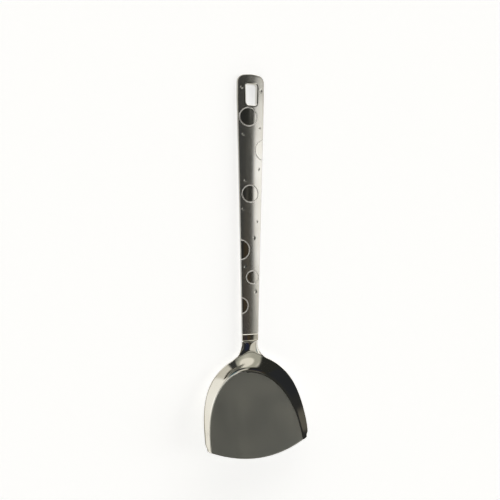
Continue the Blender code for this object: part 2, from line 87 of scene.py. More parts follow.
@dataclass(frozen=True)
class HandleForm:
    """Sizes that the collar, the shells and the slot's liner share, in the handle frame."""

    neck_half_width: float = 0.0089
    end_half_width: float = 0.0144
    collar_start: float = 0.0153
    collar_length: float = 0.0072
    wide_from: float = 0.2550
    end: float = 0.2794
    taper_power: float = 1.25
    crown_radius: float = 0.0480
    side_depth: float = 0.0016
    back_depth: float = 0.0020
    front_edge_radius: float = 0.0012
    back_edge_radius: float = 0.0013
    end_corner_radius: float = 0.0070
    end_arch: float = 0.0006
    wall: float = 0.0010
    gap: float = 0.0003

    @property
    def shell_start(self) -> float:
        """Place along the handle where the shells begin."""
        return self.collar_start + self.collar_length + self.gap

    def half_width(self, along: float) -> float:
        """Return the half width of the handle at a place along it."""
        share = (along - self.collar_start) / (self.wide_from - self.collar_start)
        share = min(max(share, 0.0), 1.0)
        return self.neck_half_width + (self.end_half_width - self.neck_half_width) * share**self.taper_power

    def crown(self, across: float, half_width: float) -> float:
        """Return how far the crowned front stands above its own long edges."""
        reach = min(abs(across), half_width)
        return math.sqrt(self.crown_radius**2 - reach**2) - math.sqrt(self.crown_radius**2 - half_width**2)

    def front(self, across: float, along: float) -> float:
        """Return the height of the front face, rounded over at its long edges."""
        half_width = self.half_width(along)
        inset = min(max(half_width - abs(across), 0.0), self.front_edge_radius)
        over = self.front_edge_radius - inset
        fall = self.front_edge_radius - math.sqrt(self.front_edge_radius**2 - over**2)
        return self.side_depth + self.crown(across, half_width) - fall


@dataclass(frozen=True)
class RestPose:
    """How the spatula lies on the table, and where its two frames stand in the room."""

    tilt: float = math.radians(-25.6298)
    pitch: float = math.radians(24.3)
    root_along: float = 0.0823
    root_height: float = 0.0139

    def handle_in_blade(self) -> Matrix:
        """Return the handle frame in the blade frame."""
        root = Matrix.Translation((0.0, self.root_along, self.root_height))
        return root @ Matrix.Rotation(self.pitch, 4, "X")

    def blade_in_room(self, form: HandleForm) -> Matrix:
        """Return the blade frame in the room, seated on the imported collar.

        Args:
            form: The handle's sizes, which say where the collar is in the handle frame.
        """
        low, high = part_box("neck_collar")
        crest = form.side_depth + form.crown(0.0, form.neck_half_width)
        middle = Vector((0.0, form.collar_start + form.collar_length / 2.0, (crest - form.back_depth) / 2.0))
        turn = Matrix.Rotation(self.tilt, 4, "X")
        offset = (low + high) / 2.0 - (turn @ self.handle_in_blade() @ middle)
        return Matrix.Translation(offset) @ turn

    def handle_in_room(self, form: HandleForm) -> Matrix:
        """Return the handle frame in the room."""
        return self.blade_in_room(form) @ self.handle_in_blade()


class Polish(Enum):
    """Finishes of the steel on the handle's front, in the order of its material slots."""

    SATIN = 0
    MIRROR = 1
    # LINE: the ring lines, whose near-white finish is partly a frosted etch and partly a painted highlight.
    LINE = 2


def feed(
    tree: bpy.types.NodeTree,
    target: bpy.types.NodeSocket,
    value: bpy.types.NodeSocket | float | tuple[float, ...],
) -> None:
    """Link a socket to an input, or set the input where a plain value is given."""
    if isinstance(value, bpy.types.NodeSocket):
        tree.links.new(value, target)
    else:
        target.default_value = value


def add_math(
    tree: bpy.types.NodeTree,
    operation: str,
    first: bpy.types.NodeSocket | float,
    second: bpy.types.NodeSocket | float,
) -> bpy.types.NodeSocket:
    """Add a Math node.

    Args:
        tree: The node tree that gets it.
        operation: The node's operation.
        first: A socket or a number.
        second: A socket or a number.

    Returns:
        The node's output.
    """
    node = tree.nodes.new("ShaderNodeMath")
    node.operation = operation
    feed(tree, node.inputs[0], first)
    feed(tree, node.inputs[1], second)
    return node.outputs[0]


def add_mix(
    tree: bpy.types.NodeTree,
    kind: str,
    share: bpy.types.NodeSocket,
    first: bpy.types.NodeSocket | tuple[float, ...],
    second: bpy.types.NodeSocket | tuple[float, ...],
) -> bpy.types.NodeSocket:
    """Add a Mix node.

    Args:
        tree: The node tree that gets it.
        kind: RGBA for colours or FLOAT for numbers.
        share: The second one's share.
        first: A socket or a colour.
        second: A socket or a colour.

    Returns:
        The node's output.
    """
    node = tree.nodes.new("ShaderNodeMix")
    node.data_type = kind
    feed(tree, node.inputs["Factor"], share)
    feed(tree, node.inputs["A"], first)
    feed(tree, node.inputs["B"], second)
    return node.outputs["Result"]


def add_ramp(
    tree: bpy.types.NodeTree,
    value: bpy.types.NodeSocket,
    low: float,
    high: float,
    interpolation: str = "LINEAR",
) -> bpy.types.NodeSocket:
    """Add a Map Range node that goes from 0 to 1.

    Args:
        tree: The node tree that gets it.
        value: The socket that it reads.
        low: The value at which it gives 0.
        high: The value at which it gives 1.
        interpolation: LINEAR or SMOOTHSTEP.

    Returns:
        The node's output.
    """
    node = tree.nodes.new("ShaderNodeMapRange")
    node.interpolation_type = interpolation
    node.inputs["From Min"].default_value = low
    node.inputs["From Max"].default_value = high
    tree.links.new(value, node.inputs["Value"])
    return node.outputs["Result"]


class SharedGroup:
    """Shader node group that is built once and placed in each material that needs it."""

    NAME: str
    INPUTS: dict[str, str]
    OUTPUTS: tuple[str, ...]

    @classmethod
    def get(cls) -> bpy.types.NodeTree:
        """Return the group, built on its first use."""
        group = bpy.data.node_groups.get(cls.NAME)
        if group is None:
            group = bpy.data.node_groups.new(cls.NAME, "ShaderNodeTree")
            for name, kind in cls.INPUTS.items():
                group.interface.new_socket(name, in_out="INPUT", socket_type=kind)
            for name in cls.OUTPUTS:
                group.interface.new_socket(name, in_out="OUTPUT", socket_type="NodeSocketFloat")
            cls._fill(group)
        return group

    @classmethod
    def _fill(cls, group: bpy.types.NodeTree) -> None:
        """Place the group's nodes between its inputs and its outputs."""
        raise NotImplementedError


class GrainGroup(SharedGroup):
    """Drawn-out grain of satin steel, shared by every finish."""

    NAME = "satin_grain"
    INPUTS = {"Vector": "NodeSocketVector", "Stretch": "NodeSocketVector"}
    OUTPUTS = ("Height", "Streaks")
    SCALE_AND_DETAIL = {"Height": (1.0, 4.0), "Streaks": (0.12, 3.0)}
    NOISE_ROUGHNESS = 0.6

    @classmethod
    def _fill(cls, group: bpy.types.NodeTree) -> None:
        """Read a fine and a broad noise, both stretched along the brushing."""
        nodes, links = group.nodes, group.links
        entry = nodes.new("NodeGroupInput")
        leave = nodes.new("NodeGroupOutput")
        stretched = nodes.new("ShaderNodeVectorMath")
        stretched.operation = "MULTIPLY"
        links.new(entry.outputs["Vector"], stretched.inputs[0])
        links.new(entry.outputs["Stretch"], stretched.inputs[1])
        for name, (scale, detail) in cls.SCALE_AND_DETAIL.items():
            noise = nodes.new("ShaderNodeTexNoise")
            noise.inputs["Scale"].default_value = scale
            noise.inputs["Detail"].default_value = detail
            noise.inputs["Roughness"].default_value = cls.NOISE_ROUGHNESS
            links.new(stretched.outputs[0], noise.inputs["Vector"])
            links.new(noise.outputs["Fac"], leave.inputs[name])


class HandlingGroup(SharedGroup):
    """Faint smudges and hairline scratches from handling."""

    NAME = "handling_marks"
    INPUTS = {
        "Vector": "NodeSocketVector",
        "Smudge Scale": "NodeSocketFloat",
        "Scratch Scale": "NodeSocketFloat",
    }
    OUTPUTS = ("Smudges", "Scratches")
    SMUDGE_DETAIL = 3.0
    SMUDGE_FROM = 0.42
    SMUDGE_FULL = 0.72
    BEND_SCALE = 30.0
    BEND_REACH = 0.004
    SCRATCH_WIDTH = 0.012

    @classmethod
    def _fill(cls, group: bpy.types.NodeTree) -> None:
        """Read cloudy smudges, and thin bent scratches inside them."""
        nodes, links = group.nodes, group.links
        entry = nodes.new("NodeGroupInput")
        leave = nodes.new("NodeGroupOutput")
        cloud = nodes.new("ShaderNodeTexNoise")
        cloud.inputs["Detail"].default_value = cls.SMUDGE_DETAIL
        links.new(entry.outputs["Vector"], cloud.inputs["Vector"])
        links.new(entry.outputs["Smudge Scale"], cloud.inputs["Scale"])
        smudges = add_ramp(group, cloud.outputs["Fac"], cls.SMUDGE_FROM, cls.SMUDGE_FULL)
        links.new(smudges, leave.inputs["Smudges"])
        bend = nodes.new("ShaderNodeTexNoise")
        bend.inputs["Scale"].default_value = cls.BEND_SCALE
        links.new(entry.outputs["Vector"], bend.inputs["Vector"])
        shifted = nodes.new("ShaderNodeVectorMath")
        shifted.operation = "MULTIPLY_ADD"
        shifted.inputs[1].default_value = (cls.BEND_REACH, cls.BEND_REACH, cls.BEND_REACH)
        links.new(bend.outputs["Color"], shifted.inputs[0])
        links.new(entry.outputs["Vector"], shifted.inputs[2])
        cells = nodes.new("ShaderNodeTexVoronoi")
        cells.feature = "DISTANCE_TO_EDGE"
        links.new(shifted.outputs[0], cells.inputs["Vector"])
        links.new(entry.outputs["Scratch Scale"], cells.inputs["Scale"])
        thin = add_ramp(group, cells.outputs["Distance"], cls.SCRATCH_WIDTH, 0.0)
        links.new(add_math(group, "MULTIPLY", thin, smudges), leave.inputs["Scratches"])


@dataclass(frozen=True)
class SteelFinish:
    """One finish of stainless steel.

    The grain's stretch is how many times its pattern repeats per metre along X, Y and Z. The tilt turns
    the pattern about X into line with the piece.
    """

    name: str
    colour: Colour
    roughness: float
    roughness_spread: float
    grain_stretch: Triple = (2600.0, 130.0, 2600.0)
    grain_depth: float = 0.0
    smudge_scale: float = 22.0
    smudge_roughness: float = 0.05
    scratch_scale: float = 60.0
    scratch_roughness: float = 0.05
    metallic: float = 1.0
    tilt: float = 0.0

    def material(self) -> bpy.types.Material:
        """Build the finish's material."""
        steel = bpy.data.materials.new(self.name)
        steel.use_nodes = True
        tree = steel.node_tree
        shader = tree.nodes["Principled BSDF"]
        shader.inputs["Metallic"].default_value = self.metallic
        look = SteelNodes(tree, self)
        tree.links.new(look.colour(), shader.inputs["Base Color"])
        tree.links.new(look.roughness(), shader.inputs["Roughness"])
        if self.grain_depth:
            tree.links.new(look.bump(look.grain.outputs["Height"]), shader.inputs["Normal"])
        return steel


class SteelNodes:
    """Nodes that a steel material needs for its grain, smudges and scratches."""

    SMUDGE_TINT: Colour = (0.93, 0.92, 0.89)

    def __init__(self, tree: bpy.types.NodeTree, finish: SteelFinish) -> None:
        """Place the shared groups in the tree with the finish's own values.

        Args:
            tree: The material's node tree.
            finish: The finish whose values the groups take.
        """
        self.tree = tree
        self.finish = finish
        place = tree.nodes.new("ShaderNodeTexCoord")
        turned = tree.nodes.new("ShaderNodeMapping")
        turned.inputs["Rotation"].default_value = (-finish.tilt, 0.0, 0.0)
        tree.links.new(place.outputs["Object"], turned.inputs["Vector"])
        self.grain = self._group(GrainGroup, turned.outputs["Vector"])
        self.grain.inputs["Stretch"].default_value = finish.grain_stretch
        self.marks = self._group(HandlingGroup, turned.outputs["Vector"])
        self.marks.inputs["Smudge Scale"].default_value = finish.smudge_scale
        self.marks.inputs["Scratch Scale"].default_value = finish.scratch_scale

    def _group(self, kind: type[SharedGroup], place: bpy.types.NodeSocket) -> bpy.types.Node:
        """Place a shared group that reads a place on the piece."""
        node = self.tree.nodes.new("ShaderNodeGroup")
        node.node_tree = kind.get()
        self.tree.links.new(place, node.inputs["Vector"])
        return node

    def colour(self) -> bpy.types.NodeSocket:
        """Tint the steel a little darker and warmer where it is smudged."""
        clean = self.finish.colour
        smudged = tuple(part * tint for part, tint in zip(clean, self.SMUDGE_TINT))
        return add_mix(self.tree, "RGBA", self.marks.outputs["Smudges"], (*clean, 1.0), (*smudged, 1.0))

    def roughness(self) -> bpy.types.NodeSocket:
        """Vary the roughness with the streaks, the smudges and the scratches."""
        tree, finish = self.tree, self.finish
        streaks = add_math(tree, "SUBTRACT", self.grain.outputs["Streaks"], 0.5)
        streaks = add_math(tree, "MULTIPLY", streaks, finish.roughness_spread * 2.0)
        smudges = add_math(tree, "MULTIPLY", self.marks.outputs["Smudges"], finish.smudge_roughness)
        scratches = add_math(tree, "MULTIPLY", self.marks.outputs["Scratches"], finish.scratch_roughness)
        total = add_math(tree, "ADD", streaks, smudges)
        total = add_math(tree, "ADD", total, scratches)
        return add_math(tree, "ADD", total, finish.roughness)

    def bump(self, height: bpy.types.NodeSocket) -> bpy.types.NodeSocket:
        """Raise a height as a fine bump, as deep as the finish's grain."""
        bump = self.tree.nodes.new("ShaderNodeBump")
        bump.inputs["Distance"].default_value = self.finish.grain_depth
        self.tree.links.new(height, bump.inputs["Height"])
        return bump.outputs["Normal"]


@dataclass(frozen=True)
class BladeFinish:
    """The blade's finish: satin on its floor, mirror polish on the flange and the neck."""

    REACH = "floor_reach"

    satin: SteelFinish
    mirror: SteelFinish
    seam: float = 0.0002

    def material(self, satin_grown: float) -> bpy.types.Material:
        """Build the blade's material.

        Args:
            satin_grown: How far the satin runs past the edge of the flat floor.
        """
        steel = bpy.data.materials.new("blade_steel")
        steel.use_nodes = True
        tree = steel.node_tree
        shader = tree.nodes["Principled BSDF"]
        shader.inputs["Metallic"].default_value = 1.0
        reach = tree.nodes.new("ShaderNodeAttribute")
        reach.attribute_name = self.REACH
        low, high = satin_grown - self.seam, satin_grown + self.seam
        polished = add_ramp(tree, reach.outputs["Fac"], low, high, "SMOOTHSTEP")
        satin, mirror = SteelNodes(tree, self.satin), SteelNodes(tree, self.mirror)
        colour = add_mix(tree, "RGBA", polished, satin.colour(), mirror.colour())
        roughness = add_mix(tree, "FLOAT", polished, satin.roughness(), mirror.roughness())
        matte = add_math(tree, "SUBTRACT", 1.0, polished)
        height = add_math(tree, "MULTIPLY", satin.grain.outputs["Height"], matte)
        tree.links.new(colour, shader.inputs["Base Color"])
        tree.links.new(roughness, shader.inputs["Roughness"])
        tree.links.new(satin.bump(height), shader.inputs["Normal"])
        return steel


GRAIN_DEPTH = 0.000006
MIRROR_TINT: Colour = (0.66, 0.64, 0.59)


@dataclass
class Finishes:
    """All the finishes of the spatula."""

    handle_satin: SteelFinish = SteelFinish(
        "handle_satin", (0.60, 0.59, 0.56), 0.20, 0.03, metallic=0.90, grain_depth=GRAIN_DEPTH
    )
    back_satin: SteelFinish = SteelFinish(
        "back_satin", (0.60, 0.59, 0.55), 0.38, 0.04, grain_depth=GRAIN_DEPTH
    )
    floor_satin: SteelFinish = SteelFinish(
        "floor_satin",
        (0.47, 0.47, 0.43),
        0.33,
        0.03,
        grain_stretch=(1800.0, 160.0, 1800.0),
        grain_depth=GRAIN_DEPTH,
        tilt=RestPose.tilt,
    )
    ring_mirror: SteelFinish = SteelFinish("ring_mirror", (0.53, 0.52, 0.49), 0.12, 0.01)
    # Near-white, half-diffuse ring line: partly a frosted etch, partly a painted highlight standing in for
    # the groove's reflection all round.
    etched_line_and_highlight: SteelFinish = SteelFinish("etched_line_and_highlight", (0.95, 0.93, 0.91), 0.35, 0.02, metallic=0.50)
    bright_lip: SteelFinish = SteelFinish("bright_lip", (0.70, 0.69, 0.66), 0.14, 0.02)
    collar_mirror: SteelFinish = SteelFinish("collar_mirror", MIRROR_TINT, 0.05, 0.01)
    flange_mirror: SteelFinish = SteelFinish("flange_mirror", MIRROR_TINT, 0.05, 0.01, tilt=RestPose.tilt)


def add_piece(
    name: str,
    mesh: bpy.types.Mesh,
    place: Matrix,
    node: str,
    sharp_angle: float,
) -> bpy.types.Object:
    """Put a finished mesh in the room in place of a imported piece.

    Args:
        name: The new object's name.
        mesh: The finished mesh in its own frame.
        place: That frame in the room.
        node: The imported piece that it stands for.
        sharp_angle: How far an edge turns before it is shaded sharp.

    Returns:
        The new object, unturned and at the origin.
    """
    mesh.shade_smooth()
    mesh.set_sharp_from_angle(angle=sharp_angle)
    mesh.transform(place)
    mesh.name = name
    piece = bpy.data.objects.new(name, mesh)
    bpy.context.scene.collection.objects.link(piece)
    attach(piece, "root")
    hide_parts(node)
    log.info("%s: %d faces", name, len(mesh.polygons))
    return piece


def as_mesh(bm: bmesh.types.BMesh, name: str) -> bpy.types.Mesh:
    """Turn a bmesh into a mesh and free it."""
    mesh = bpy.data.meshes.new(name)
    bm.to_mesh(mesh)
    bm.free()
    return mesh


def solid_of(mesh: bpy.types.Mesh, wall: float, cutters: list[bpy.types.Mesh]) -> bpy.types.Mesh:
    """Give a sheet its wall behind its outer face and cut it.

    Args:
        mesh: The open outer face, which is used up.
        wall: The thickness of the wall.
        cutters: Closed meshes that are cut out, which are used up too.

    Returns:
        The finished mesh.
    """
    body = bpy.data.objects.new("body", mesh)
    bpy.context.scene.collection.objects.link(body)
    solid = body.modifiers.new("wall", "SOLIDIFY")
    solid.thickness = wall
    solid.offset = -1.0
    tools = []
    for index, cutter in enumerate(cutters):
        tool = bpy.data.objects.new(f"cutter_{index}", cutter)
        bpy.context.scene.collection.objects.link(tool)
        tools.append(tool)
        cut = body.modifiers.new(tool.name, "BOOLEAN")
        cut.operation = "DIFFERENCE"
        cut.solver = "EXACT"
        cut.object = tool
    bpy.context.view_layer.update()
    depsgraph = bpy.context.evaluated_depsgraph_get()
    result = bpy.data.meshes.new_from_object(body.evaluated_get(depsgraph))
    for tool in [body] + tools:
        used = tool.data
        bpy.data.objects.remove(tool)
        bpy.data.meshes.remove(used)
    return result


def cut_lines(bm: bmesh.types.BMesh, axis: int, places: np.ndarray) -> None:
    """Divide a mesh along planes.

    Args:
        bm: The mesh.
        axis: 0 for planes across X, 1 for planes across Y.
        places: Where the planes stand on that axis.
    """
    normal = Vector((float(axis == 0), float(axis == 1), 0.0))
    for place in places:
        geometry = bm.verts[:] + bm.edges[:] + bm.faces[:]
        bmesh.ops.bisect_plane(bm, geom=geometry, plane_co=normal * float(place), plane_no=normal)


def round_off(
    bm: bmesh.types.BMesh,
    geometry: list[bmesh.types.BMVert] | list[bmesh.types.BMEdge],
    radius: float,
    segments: int,
    affect: str = "VERTICES",
) -> list[bmesh.types.BMVert]:
    """Round the corners of a flat face, or edges.

    Args:
        bm: The mesh.
        geometry: The corners or the edges.
        radius: The radius of the round.
        segments: How many straight pieces make it up.
        affect: VERTICES for corners or EDGES for edges.

    Returns:
        The vertices of the round.
    """
    made = bmesh.ops.bevel(
        bm,
        geom=geometry,
        offset=radius,
        segments=segments,
        profile=0.5,
        affect=affect,
        material=-1,
    )
    return made["verts"]


def extrude(bm: bmesh.types.BMesh, faces: list[bmesh.types.BMFace], step: Triple) -> None:
    """Extrude the faces of a flat mesh by a step, with its normals pointing out."""
    grown = bmesh.ops.extrude_face_region(bm, geom=faces)["geom"]
    moved = [item for item in grown if isinstance(item, bmesh.types.BMVert)]
    bmesh.ops.translate(bm, verts=moved, vec=step)
    bmesh.ops.recalc_face_normals(bm, faces=bm.faces)


@dataclass
class Blade:
    """Shovel blade with its neck and hidden tang, pressed from one sheet."""

    form: HandleForm
    pose: RestPose
    sheet: float = 0.00124
    floor_half_width: float = 0.0479
    floor_length: float = 0.0692
    edge_bulge: float = 0.0126
    corner_drop: float = 0.0022
    corner_inset: float = 0.0022
    corner_inset_length: float = 0.0090
    corner_round: float = 0.0004
    corner_round_turn: tuple[float, float] = (0.75, 0.66)
    corner_reach: float = 0.0030
    edge_bend_length: float = 0.0500
    side_reach: float = 0.0061
    back_reach: float = 0.0131
    reach_grown_by: float = 0.60
    corner_height: float = 0.0030
    corner_rise_length: float = 0.0180
    side_height: float = 0.0042
    back_height: float = 0.0129
    rise_power: float = 2.8
    side_bend_share: float = 0.25
    back_bend_share: float = 0.31
    crest_lift: float = 0.0005
    crest_lift_from: float = 0.35
    crest_lift_share: float = 0.55
    lift_half_width: float = 0.0171
    flange_turn: float = math.radians(73.0)
    flare_lead: float = 0.0052
    flare_tail: float = 0.0066
    flare_end: float = 0.0112
    crest_sink: float = 0.0009
    crest_sink_length: float = 0.0135
    neck_edge_drop: float = 0.0010
    shoulder_rise: float = 0.0018
    shoulder_from: float = -0.0050
    shoulder_length: float = 0.0100
    rounding_from: float = -0.0010
    rounding_length: float = 0.0090
    rounding: float = 0.74
    neck_side_from: float = 0.60
    neck_side_power: float = 2.2
    join_width: float = 0.0008
    join_from: float = -0.0070
    join_length: float = 0.0060
    groove_width: float = 0.0006
    groove_depth: float = 0.00018
    groove_power: float = 1.5
    tang_start_share: float = 0.75
    tang_length: float = 0.040
    satin_grown: float = 0.0004
    satin_back_trim: float = 0.0016
    satin_left_growth: float = 0.0009
    satin_shoulder_growth: float = 0.0040
    edge_radius: float = 0.00025
    edge_segments: int = 2
    edge_angle: float = math.radians(50.0)
    sharp_angle: float = math.radians(40.0)
    columns: int = 150
    even_column_share: float = 0.45
    fine_rows_from: float = -0.022
    neck_rows_from: float = 0.004
    row_counts: tuple[int, int, int, int] = (62, 66, 20, 4)
    outline_steps: int = 160
    flare_steps: int = 40
    nearest_rounds: int = 6
    surface_rounds: int = 14
    surface_slope: float = 0.55

    @property
    def corner_half_width(self) -> float:
        """Half width between the leading edge's corners."""
        return self.floor_half_width + self.side_reach - self.corner_inset

    def nearest(self, across: np.ndarray, along: np.ndarray) -> tuple[np.ndarray, np.ndarray]:
        """Find the nearest place on the floor's outline.

        Args:
            across: X of the points in the blade frame.
            along: Y of the points.

        Returns:
            The angle of that place round the floor, and the distance out from it.
        """
        wide, long = self.floor_half_width, self.floor_length
        x, y = np.abs(across), np.maximum(along, 0.0)
        angle = np.arctan2(y / long, x / wide)
        for _ in range(self.nearest_rounds):
            cos, sin = np.cos(angle), np.sin(angle)
            gap_x, gap_y = wide * cos - x, long * sin - y
            slope = -gap_x * wide * sin + gap_y * long * cos
            curve = (wide * sin) ** 2 + (long * cos) ** 2 - gap_x * wide * cos - gap_y * long * sin
            angle = np.clip(angle - slope / np.maximum(curve, wide**2 / 4.0), 0.0, math.pi / 2.0)
        cos, sin = np.cos(angle), np.sin(angle)
        out_x, out_y = cos / wide, sin / long
        size = np.hypot(out_x, out_y)
        distance = ((x - wide * cos) * out_x + (y - long * sin) * out_y) / size
        return angle, distance

    def reach(self, angle: np.ndarray) -> np.ndarray:
        """Return the flange's width in plan at an angle round the floor."""
        grown = smoothstep(angle / (math.pi / 2.0) / self.reach_grown_by)
        return self.side_reach + (self.back_reach - self.side_reach) * grown

    def rim_height(self, angle: np.ndarray, along: np.ndarray) -> np.ndarray:
        """Return the rim's height above the floor."""
        back = (self.back_height - self.side_height) * np.sin(angle) ** self.rise_power
        begun = smoothstep((along + self.corner_drop) / self.corner_rise_length)
        side = self.corner_height + (self.side_height - self.corner_height) * begun
        return side + back

    def bowl(self, across: np.ndarray, along: np.ndarray) -> np.ndarray:
        """Return the height of the bowl's upper face in the blade frame."""
        angle, distance = self.nearest(across, along)
        share = np.maximum(distance / self.reach(angle), 0.0)
        bend = self.side_bend_share + (self.back_bend_share - self.side_bend_share) * np.sin(angle) ** 2
        bent = np.where(share < bend, share**2 / (2.0 * bend), share - bend / 2.0)
        rise = bent / (1.0 - bend / 2.0)
        lift = self.crest_lift * np.maximum(1.0 - (across / self.lift_half_width) ** 2, 0.0) ** 2
        lift = lift * smoothstep((share - self.crest_lift_from) / self.crest_lift_share)
        return self.rim_height(angle, along) * rise + lift

    def neck(self, across: np.ndarray, along: np.ndarray, half_width: np.ndarray) -> np.ndarray:
        """Return the height of the neck's crowned face in the handle frame."""
        crest_drop = self.crest_sink * (1.0 - smoothstep(along / self.crest_sink_length))
        crest = self.form.side_depth + self.form.crown(0.0, self.form.neck_half_width) - crest_drop
        rise = self.shoulder_rise + self.neck_edge_drop
        edge = self.shoulder_rise - rise * smoothstep((along - self.shoulder_from) / self.shoulder_length)
        rounding = self.rounding * smoothstep((along - self.rounding_from) / self.rounding_length)
        share = np.abs(across) / half_width
        side_share = np.maximum((share - self.neck_side_from) / (1.0 - self.neck_side_from), 0.0)
        crowned = (1.0 - rounding) * share**2 + rounding * side_share**self.neck_side_power
        return crest - (crest - edge) * crowned

    def outline(self) -> tuple[np.ndarray, np.ndarray]:
        """Work out the outline on the right, from the leading edge's corner to the collar.

        Returns:
            Places along the handle frame, and the half width at each.
        """
        form = self.form
        turns = np.linspace(0.0, self.flange_turn, self.outline_steps)
        cos, sin = np.cos(turns), np.sin(turns)
        out_x, out_y = cos / self.floor_half_width, sin / self.floor_length
        size = np.hypot(out_x, out_y)
        reach = self.reach(turns)
        x = self.floor_half_width * cos + out_x / size * reach
        y = self.floor_length * sin + out_y / size * reach
        inset = 1.0 - smoothstep((y + self.corner_drop) / self.corner_inset_length)
        x = x - self.corner_inset * inset**2
        height = self.rim_height(turns, y)
        along, _ = self.to_handle(y, height)
        start = np.array((x[-1], along[-1]))
        lead = start - np.array((x[-2], along[-2]))
        lead = start + lead / np.hypot(*lead) * self.flare_lead
        finish = np.array((form.neck_half_width, self.flare_end))
        tail = finish - np.array((0.0, self.flare_tail))
        t = np.linspace(0.0, 1.0, self.flare_steps)[1:, None]
        flare = (1 - t) ** 3 * start + 3 * (1 - t) ** 2 * t * lead
        flare = flare + 3 * (1 - t) * t**2 * tail + t**3 * finish
        places = np.concatenate((along, flare[:, 1], (form.collar_start,)))
        widths = np.concatenate((x, flare[:, 0], (form.neck_half_width,)))
        return places, widths

    def to_handle(self, along: np.ndarray, height: np.ndarray) -> tuple[np.ndarray, np.ndarray]:
        """Turn places in the blade's middle plane into the handle frame."""
        cos, sin = math.cos(self.pose.pitch), math.sin(self.pose.pitch)
        y, z = along - self.pose.root_along, height - self.pose.root_height
        return y * cos + z * sin, z * cos - y * sin

    def to_blade(self, along: np.ndarray, height: np.ndarray) -> tuple[np.ndarray, np.ndarray]:
        """Turn places in the handle's middle plane into the blade frame."""
        cos, sin = math.cos(self.pose.pitch), math.sin(self.pose.pitch)
        y = self.pose.root_along + along * cos - height * sin
        return y, self.pose.root_height + along * sin + height * cos

    def rows(self, first: float) -> np.ndarray:
        """Return where the mesh's rows stand on the handle frame's Y, close where the sheet bends."""
        end = self.form.collar_start - self.form.gap - self.groove_width
        stops = (first, self.fine_rows_from, self.neck_rows_from, end - self.groove_depth)
        spans = zip(stops, stops[1:], self.row_counts)
        parts = [np.linspace(low, high, count, endpoint=False) for low, high, count in spans]
        parts.append(np.linspace(stops[-1], end, self.row_counts[-1]))
        return np.concatenate(parts)

    def surface(self, across: np.ndarray, along: np.ndarray, half_width: np.ndarray) -> np.ndarray:
        """Return the upper face's height in the handle frame, closed in on in rounds of one fixed slope."""
        height = np.zeros_like(across)
        steep = math.cos(self.pose.pitch) + self.surface_slope * math.sin(self.pose.pitch)
        for _ in range(self.surface_rounds):
            y, z = self.to_blade(along, height)
            height = height + (self.bowl(across, y) - z) / steep
        neck = self.neck(across, along, half_width)
        joined = smooth_lower(height, neck, self.join_width)
        weight = smoothstep((along - self.join_from) / self.join_length)
        return height + (joined - height) * weight

    def round_corner(
        self, x: np.ndarray, along: np.ndarray, corner: np.ndarray
    ) -> tuple[np.ndarray, np.ndarray]:
        """Draw the sheet's points near the leading edge's corners inwards, so that they are round."""
        gap_x, gap_y = np.abs(x) - corner[0], along - corner[1]
        near = np.clip(1.0 - np.hypot(gap_x, gap_y) / self.corner_reach, 0.0, 1.0)
        pull = self.corner_round * near**2
        inwards, backwards = self.corner_round_turn
        return x - np.sign(x) * pull * inwards, along + pull * backwards

    def build(self) -> bpy.types.Mesh:
        """Build the blade in the handle frame."""
        places, widths = self.outline()
        corner = np.array((self.corner_half_width, -self.corner_drop))
        first, _ = self.to_handle(corner[1], self.bowl(corner[:1], corner[1:]))
        rows = self.rows(float(first[0]))
        bm = bmesh.new()
        bmesh.ops.create_grid(bm, x_segments=self.columns, y_segments=len(rows) - 1, size=1.0)
        grid = np.array([vertex.co for vertex in bm.verts])
        share = np.abs(grid[:, 0])
        even = self.even_column_share
        across = np.sign(grid[:, 0]) * (even * share + (1.0 - even) * np.sin(share * math.pi / 2.0))
        row = np.rint((grid[:, 1] + 1.0) / 2.0 * (len(rows) - 1)).astype(int)
        row_along = rows[row]
        half_width = np.interp(row_along, places, widths)
        x = across * half_width
        lead_x = across * self.corner_half_width
        lead_y = -self.corner_drop - self.edge_bulge * (1.0 - (lead_x / self.corner_half_width) ** 2)
        lead_along, _ = self.to_handle(lead_y, self.bowl(lead_x, lead_y))
        fade = 1.0 - smoothstep((row_along - rows[0]) / self.edge_bend_length)
        along = row_along + (lead_along - rows[0]) * fade
        corner = np.array((self.corner_half_width, float(rows[0])))
        x, along = self.round_corner(x, along, corner)
        local_width = np.maximum(np.interp(along, places, widths), np.abs(x))
        height = self.surface(x, along, local_width)
        end = float(rows[-1])
        chamfer = np.clip((along - (end - self.groove_depth)) / self.groove_depth, 0.0, 1.0)
        height = height - self.groove_depth * chamfer**self.groove_power
        for vertex, place in zip(bm.verts, zip(x, along, height)):
            vertex.co = place
        self._add_tang(bm, end)
        self._mark_floor(bm)
        return as_mesh(bm, "blade")

    def _mark_floor(self, bm: bmesh.types.BMesh) -> None:
        """Write how far each vertex lies outside the floor, which tells the satin from the mirror."""
        reach = bm.verts.layers.float.new(BladeFinish.REACH)
        for vertex in bm.verts:
            y, _ = self.to_blade(vertex.co.y, vertex.co.z)
            angle, distance = self.nearest(np.array(vertex.co.x), np.array(y))
            cos, sin = math.cos(float(angle)), math.sin(float(angle))
            trim = self.satin_back_trim * sin**4
            if vertex.co.x < 0.0:
                trim -= self.satin_left_growth * cos
                trim -= self.satin_shoulder_growth * sin**2 * math.sqrt(cos)
            outside = vertex.co.y > -self.back_reach / 2.0
            vertex[reach] = max(float(distance) + trim, self.back_reach if outside else -1.0)

